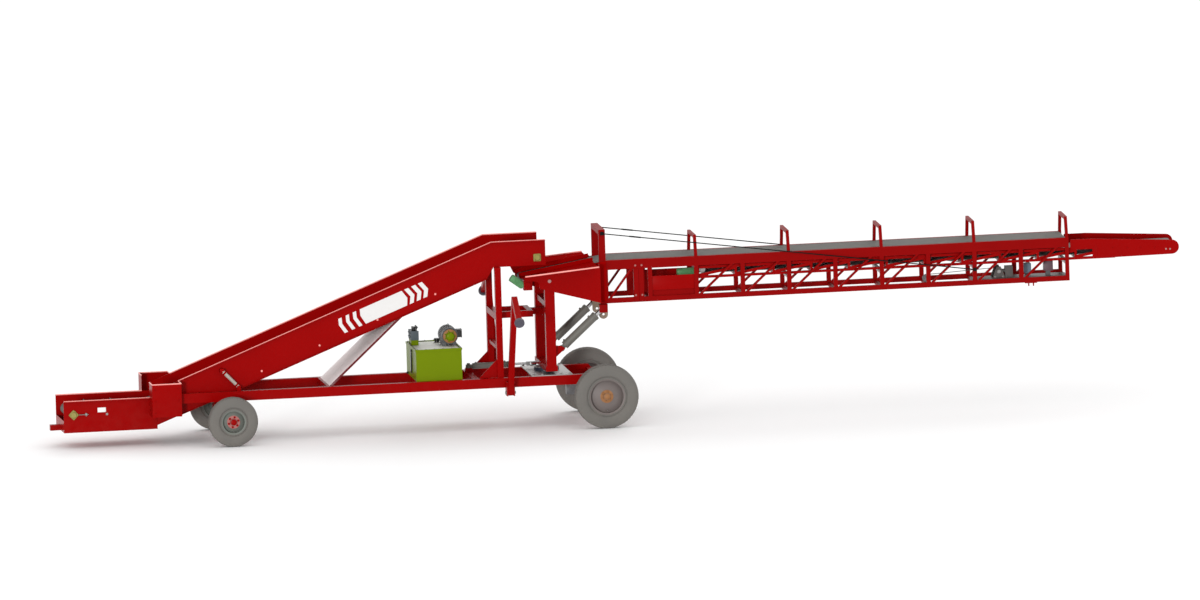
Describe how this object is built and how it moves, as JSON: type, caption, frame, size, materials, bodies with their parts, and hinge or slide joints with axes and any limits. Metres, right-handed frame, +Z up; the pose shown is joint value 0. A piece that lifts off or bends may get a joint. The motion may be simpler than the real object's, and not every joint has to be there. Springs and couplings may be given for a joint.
{
  "type": "potato stacker",
  "caption": "Wheeled potato stacker: belt elevator feeding a slewing, luffing telescopic belt boom with hoops, mast stays, hydraulic power pack and folding outriggers.",
  "frame": {"origin": "on the ground, under the middle of the bounding box", "axes": "+X along the boom to the discharge end, +Z up, +Y to the left when looking along +X"},
  "size_m": [17.137, 3.7684, 2.919],
  "materials": {
    "red_paint": "gloss paint",
    "motor_grey": "satin paint",
    "tyre_grey": "worn rubber",
    "rim_grey": "satin paint",
    "belt_rubber": "matt rubber",
    "bare_steel": "bare steel",
    "bearing_yellow": "satin paint",
    "motor_green": "satin paint",
    "tank_green": "gloss paint",
    "pump_grey": "satin paint",
    "turntable_navy": "dark casting",
    "cylinder_grey": "satin paint",
    "rod_steel": "plated rod"
  },
  "bodies": {
    "chassis": {"chassis_frame": "red_paint", "slew_base": "red_paint", "portal_frame": "red_paint", "front_axle": "red_paint", "rear_axle": "red_paint", "infeed_wall_right": "red_paint", "infeed_wall_left": "red_paint", "infeed_pan": "red_paint", "knee_guards": "red_paint", "elevator_wall_right": "red_paint", "elevator_wall_left": "red_paint", "elevator_bed": "red_paint", "elevator_brace": "red_paint", "drive_motor": "motor_grey", "elevator_belt": "belt_rubber", "elevator_pulleys": "bare_steel", "infeed_ties": "bare_steel", "flange_bearings": "bearing_yellow", "elevator_drive": "motor_green", "hydraulic_tank": "tank_green", "pump_motor": "pump_grey", "valve_bank": "pump_grey"},
    "column": {"turntable": "turntable_navy", "slew_column": "red_paint"},
    "boom": {"boom_hopper": "red_paint", "mast_hoop": "red_paint", "boom_side_right": "red_paint", "boom_side_left": "red_paint", "boom_bed": "red_paint", "boom_ties": "red_paint", "boom_belt": "belt_rubber", "boom_pulleys": "bare_steel", "boom_hoops": "red_paint", "boom_gearbox": "red_paint", "boom_drive": "motor_green", "boom_winch": "motor_grey", "boom_boxes": "pump_grey", "boom_stays": "bare_steel", "mast_lugs": "bare_steel"},
    "inner_boom": {"inner_truss": "red_paint", "inner_head": "red_paint", "inner_belt": "belt_rubber", "inner_pulleys": "bare_steel", "inner_drive": "motor_green"},
    "lift_barrel_pair": {"lift_barrels": "cylinder_grey"},
    "lift_rod_pair": {"lift_rods": "rod_steel"},
    "slew_cylinder_barrel": {"slew_barrel": "cylinder_grey"},
    "slew_cylinder_rod": {"slew_rod": "rod_steel"},
    "right_outrigger": {"outrigger_right": "red_paint", "outrigger_pad_right": "pump_grey"},
    "left_outrigger": {"outrigger_left": "red_paint", "outrigger_pad_left": "pump_grey"},
    "front_right_wheel": {"front_right_tyre": "tyre_grey", "front_right_rim": "rim_grey"},
    "front_left_wheel": {"front_left_tyre": "tyre_grey", "front_left_rim": "rim_grey"},
    "rear_right_wheel": {"rear_right_tyre": "tyre_grey", "rear_right_rim": "rim_grey"},
    "rear_left_wheel": {"rear_left_tyre": "tyre_grey", "rear_left_rim": "rim_grey"}
  },
  "joints": [
    {"name": "front_right_spin", "type": "hinge", "parent": "chassis", "child": "front_right_wheel", "pos_m": [-5.93, -0.965, 0.3735], "axis": [0, 1, 0], "continuous": true},
    {"name": "front_left_spin", "type": "hinge", "parent": "chassis", "child": "front_left_wheel", "pos_m": [-5.93, 0.965, 0.3735], "axis": [0, 1, 0], "continuous": true},
    {"name": "rear_right_spin", "type": "hinge", "parent": "chassis", "child": "rear_right_wheel", "pos_m": [-0.263, -0.965, 0.4815], "axis": [0, 1, 0], "continuous": true},
    {"name": "rear_left_spin", "type": "hinge", "parent": "chassis", "child": "rear_left_wheel", "pos_m": [-0.263, 0.965, 0.4815], "axis": [0, 1, 0], "continuous": true},
    {"name": "slew", "type": "hinge", "parent": "chassis", "child": "column", "pos_m": [-1.02, 0, 0.84], "axis": [0, 0, 1], "range_deg": [-25, 25]},
    {"name": "luff", "type": "hinge", "parent": "column", "child": "boom", "pos_m": [-1.02, 0, 2.208], "axis": [0, -1, 0], "range_deg": [0, 24]},
    {"name": "telescope", "type": "slide", "parent": "boom", "child": "inner_boom", "axis": [1, 0, 0], "range_m": [0, 4]},
    {"name": "lift_barrel_swing", "type": "hinge", "parent": "column", "child": "lift_barrel_pair", "pos_m": [-0.845, 0, 1.165], "axis": [0, -1, 0], "range_deg": [0, 9.3]},
    {"name": "lift_rod_slide", "type": "slide", "parent": "lift_barrel_pair", "child": "lift_rod_pair", "axis": [0.7474, 0, 0.6644], "range_m": [0, 0.3565]},
    {"name": "slew_barrel_swing", "type": "hinge", "parent": "chassis", "child": "slew_cylinder_barrel", "pos_m": [-2.165, 0.25, 0.865], "axis": [0, 0, 1], "range_deg": [-5, 5]},
    {"name": "slew_rod_slide", "type": "slide", "parent": "slew_cylinder_barrel", "child": "slew_cylinder_rod", "axis": [1, 0, 0], "range_m": [-0.115, 0.115]},
    {"name": "right_outrigger_fold", "type": "hinge", "parent": "chassis", "child": "right_outrigger", "pos_m": [-1.674, -0.68, 0.566], "axis": [1, 0, 0], "range_deg": [0, 65]},
    {"name": "left_outrigger_fold", "type": "hinge", "parent": "chassis", "child": "left_outrigger", "pos_m": [-1.674, 0.68, 0.566], "axis": [-1, 0, 0], "range_deg": [0, 65]}
  ],
  "couplings": [
    {"joint": "lift_barrel_swing", "follows": "luff", "ratio": 0.38342},
    {"joint": "lift_rod_slide", "follows": "luff", "m_per_rad": 0.84871},
    {"joint": "slew_barrel_swing", "follows": "slew", "ratio": -0.15086},
    {"joint": "slew_rod_slide", "follows": "slew", "m_per_rad": -0.23819}
  ]
}
